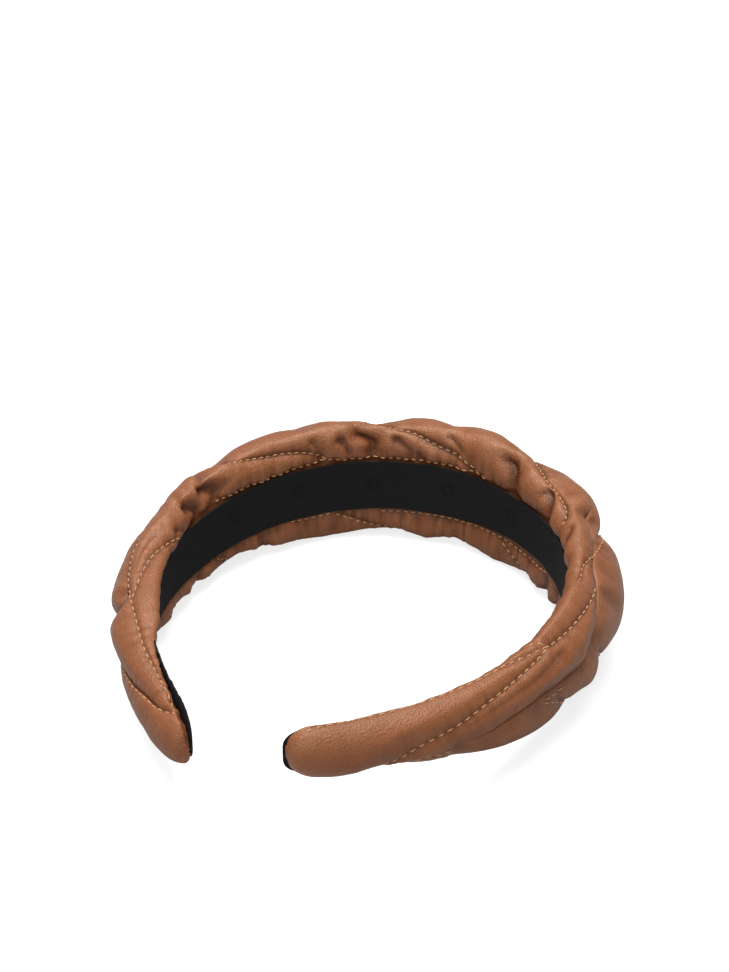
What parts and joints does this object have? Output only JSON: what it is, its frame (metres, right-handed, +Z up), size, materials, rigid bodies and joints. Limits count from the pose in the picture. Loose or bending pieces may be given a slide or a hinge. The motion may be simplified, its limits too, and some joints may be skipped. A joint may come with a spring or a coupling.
{
  "type": "headband",
  "caption": "Wide padded headband: a sprung open hoop in quilted tan leather that tapers to two tips, with a black ribbed ribbon lining.",
  "frame": {"origin": "bottom centre of the headband's box, with the band lying on its side", "axes": "+Z up, across the band's width; +Y towards the crown, so the opening between the tips faces -Y; +X to the right, towards the half that flexes"},
  "size_m": [0.1434, 0.1624, 0.0383],
  "materials": {
    "leather": "soft satin nappa leather with a fine grain",
    "ribbon": "ribbed black ribbon, dull sheen",
    "thread": "golden tan sewing thread",
    "core_plastic": "plain moulded plastic",
    "foam": "soft open-cell foam",
    "wadding": "white polyester wadding",
    "adhesive": "thin dried adhesive film"
  },
  "bodies": {
    "left_half": {"core_band_left": "core_plastic", "foam_pad_left": "foam", "quilt_wadding_left": "wadding", "leather_cover_left": "leather", "ribbon_glue_left": "adhesive", "lining_ribbon_left": "ribbon", "thread_left_tip_edge": "thread", "thread_left_outer": "thread", "thread_left_tip_corner": "thread", "thread_left_upper_crown": "thread", "thread_left_ribbon_edge": "thread", "thread_left_crest": "thread", "thread_left_inner_strip": "thread", "thread_left_inner_crown": "thread", "thread_left_inner_lower": "thread"},
    "right_half": {"core_band_right": "core_plastic", "foam_pad_right": "foam", "quilt_wadding_right": "wadding", "leather_cover_right": "leather", "ribbon_glue_right": "adhesive", "lining_ribbon_right": "ribbon", "thread_right_tip_edge": "thread", "thread_right_diagonal": "thread", "thread_right_underside": "thread", "thread_right_lower_branch": "thread", "thread_right_lower_back": "thread", "thread_right_shoulder": "thread", "thread_right_upper_shoulder": "thread", "thread_right_ribbon_edge": "thread", "thread_right_inner_strip": "thread", "thread_right_inner_branch": "thread"}
  },
  "joints": [
    {"name": "crown_flex", "type": "hinge", "parent": "left_half", "child": "right_half", "pos_m": [0, 0.08088, 0.01875], "axis": [0, 0, 1], "range_deg": [-3, 38], "stiffness_Nm_per_rad": 0.35}
  ]
}
